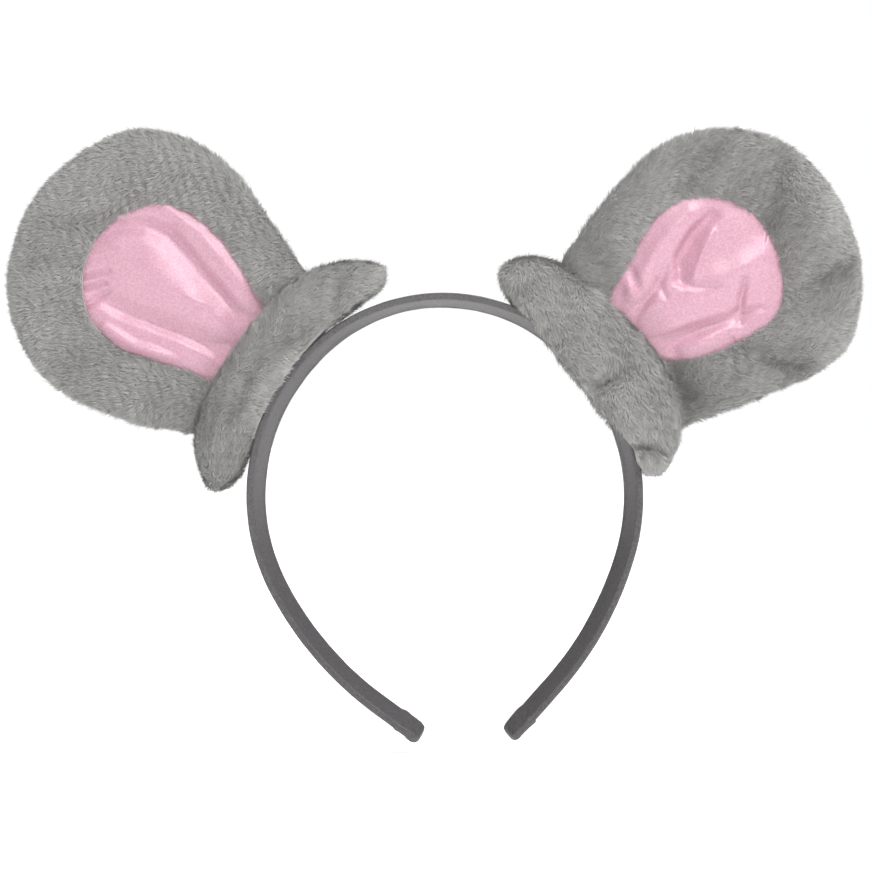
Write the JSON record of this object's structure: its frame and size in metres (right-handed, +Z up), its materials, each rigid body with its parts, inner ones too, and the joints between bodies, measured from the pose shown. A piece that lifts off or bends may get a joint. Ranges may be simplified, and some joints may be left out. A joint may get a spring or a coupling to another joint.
{
  "type": "animal ears headband",
  "caption": "Open spring headband covered in grey satin, with two round grey plush animal ears that have pink satin insides and stand in plush cuffs.",
  "frame": {"origin": "centre of the band's inner face at the crown, where it rests on the head", "axes": "as worn: +X to the right in the front view, +Y towards the back of the head, +Z up; the ears face -Y"},
  "size_m": [0.2916, 0.0228, 0.2097],
  "materials": {
    "plush": "short grey pile, matt",
    "grey_satin": "satin weave",
    "pink_satin": "satin weave, bright",
    "spring_plastic": "moulded",
    "wadding": "loose white fibre",
    "glue": "cloudy hot melt",
    "grey_thread": "sewing thread",
    "pink_thread": "sewing thread"
  },
  "bodies": {
    "crown": {"band_core_crown": "spring_plastic", "satin_cover_crown": "grey_satin", "ear_cuff_left": "plush", "cuff_filling_left": "wadding", "cuff_glue_left": "glue", "base_seam_left": "grey_thread", "ear_cuff_right": "plush", "cuff_filling_right": "wadding", "cuff_glue_right": "glue", "base_seam_right": "grey_thread"},
    "arm_left": {"band_core_arm_left": "spring_plastic", "satin_cover_arm_left": "grey_satin", "satin_tip_left": "grey_satin"},
    "ear_left": {"ear_back_left": "plush", "ear_front_ring_left": "plush", "satin_insert_left": "pink_satin", "ear_wadding_left": "wadding", "rim_seam_left": "grey_thread", "satin_seam_left": "pink_thread"},
    "arm_right": {"band_core_arm_right": "spring_plastic", "satin_cover_arm_right": "grey_satin", "satin_tip_right": "grey_satin"},
    "ear_right": {"ear_back_right": "plush", "ear_front_ring_right": "plush", "satin_insert_right": "pink_satin", "ear_wadding_right": "wadding", "rim_seam_right": "grey_thread", "satin_seam_right": "pink_thread"}
  },
  "joints": [
    {"name": "arm_flex_left", "type": "hinge", "parent": "crown", "child": "arm_left", "pos_m": [-0.06562, 0, -0.05119], "axis": [0, 1, 0], "range_deg": [-3, 15], "stiffness_Nm_per_rad": 0.5},
    {"name": "arm_flex_right", "type": "hinge", "parent": "crown", "child": "arm_right", "pos_m": [0.06342, 0, -0.04025], "axis": [0, -1, 0], "range_deg": [-3, 15], "stiffness_Nm_per_rad": 0.5},
    {"name": "ear_fold_left", "type": "hinge", "parent": "crown", "child": "ear_left", "pos_m": [-0.06589, 0, -0.01245], "axis": [0.6074, 0, 0.7944], "range_deg": [-45, 45], "stiffness_Nm_per_rad": 0.05},
    {"name": "ear_fold_right", "type": "hinge", "parent": "crown", "child": "ear_right", "pos_m": [0.06378, 0, -0.00831], "axis": [0.6143, 0, -0.7891], "range_deg": [-45, 45], "stiffness_Nm_per_rad": 0.05}
  ]
}
